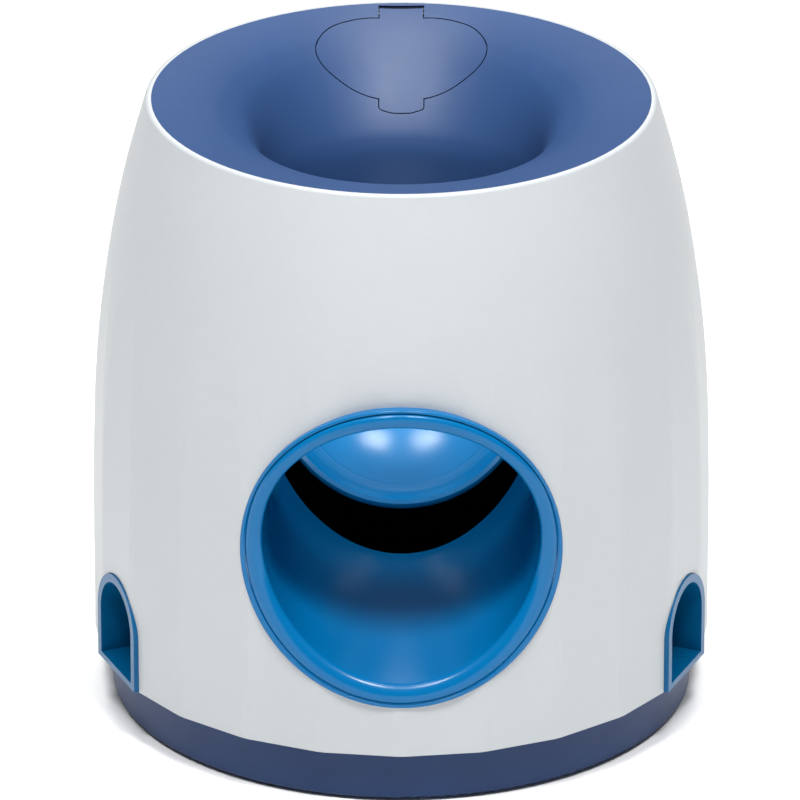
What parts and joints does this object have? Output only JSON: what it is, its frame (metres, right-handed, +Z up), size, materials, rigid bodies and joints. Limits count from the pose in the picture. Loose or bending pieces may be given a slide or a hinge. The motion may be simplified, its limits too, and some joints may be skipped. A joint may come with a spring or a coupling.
{
  "type": "ball drop treat dispenser",
  "caption": "Drum-shaped pet treat dispenser: a ball dropped in the top funnel tips a dish, treats fall to two side outlets and the ball rolls out of the front mouth.",
  "frame": {"origin": "centre of the footprint, on the plane of the rubber feet", "axes": "+Z up; the ball mouth faces -Y, the treat outlets are to both sides of it"},
  "size_m": [0.1722, 0.173, 0.1763],
  "materials": {
    "shell_white": "fine satin moulded plastic",
    "funnel_navy": "satin moulded plastic",
    "base_navy": "satin moulded plastic",
    "chute_blue": "gloss moulded plastic",
    "dish_blue": "high gloss moulded plastic",
    "frame_black": "matt moulded plastic",
    "hopper_natural": "matt moulded plastic",
    "gear_white": "natural acetal",
    "steel": "bright steel",
    "rubber": "soft rubber"
  },
  "bodies": {
    "housing": {"outer_shell": "shell_white", "base_plate": "base_navy", "rubber_feet": "rubber", "base_screws": "steel", "frame_screws": "steel", "mech_frame": "frame_black", "stop_bumper": "rubber", "ball_chute": "chute_blue", "chute_screws": "steel", "axle_bushes": "gear_white", "return_spring": "steel", "drum_pin_left": "steel", "drum_pin_right": "steel", "outlet_left": "chute_blue", "outlet_right": "chute_blue", "treat_hopper": "hopper_natural", "hopper_screws": "steel", "funnel": "funnel_navy", "lid_hinge_pin": "steel"},
    "lid": {"filler_lid": "funnel_navy"},
    "trigger": {"trigger_dish": "dish_blue", "trigger_axle": "steel", "axle_clips": "steel", "sector_gear_left": "gear_white", "sector_gear_right": "gear_white"},
    "drum_left": {"dosing_drum_left": "gear_white"},
    "drum_right": {"dosing_drum_right": "gear_white"}
  },
  "joints": [
    {"name": "lid_hinge", "type": "hinge", "parent": "housing", "child": "lid", "pos_m": [0, 0.06675, 0.1738], "axis": [-1, 0, 0], "range_deg": [0, 85]},
    {"name": "trigger_swing", "type": "hinge", "parent": "housing", "child": "trigger", "pos_m": [0, 0.026, 0.0705], "axis": [1, 0, 0], "range_deg": [0, 24], "stiffness_Nm_per_rad": 0.02, "springref_deg": -34.38, "deforming": ["return_spring"]},
    {"name": "drum_left_spin", "type": "hinge", "parent": "housing", "child": "drum_left", "pos_m": [-0.057, -0.007, 0.0705], "axis": [1, 0, 0], "range_deg": [-108.5, 0]},
    {"name": "drum_right_spin", "type": "hinge", "parent": "housing", "child": "drum_right", "pos_m": [0.057, -0.007, 0.0705], "axis": [1, 0, 0], "range_deg": [-108.5, 0]}
  ],
  "couplings": [
    {"joint": "drum_left_spin", "follows": "trigger_swing", "ratio": -4.5},
    {"joint": "drum_right_spin", "follows": "trigger_swing", "ratio": -4.5}
  ]
}
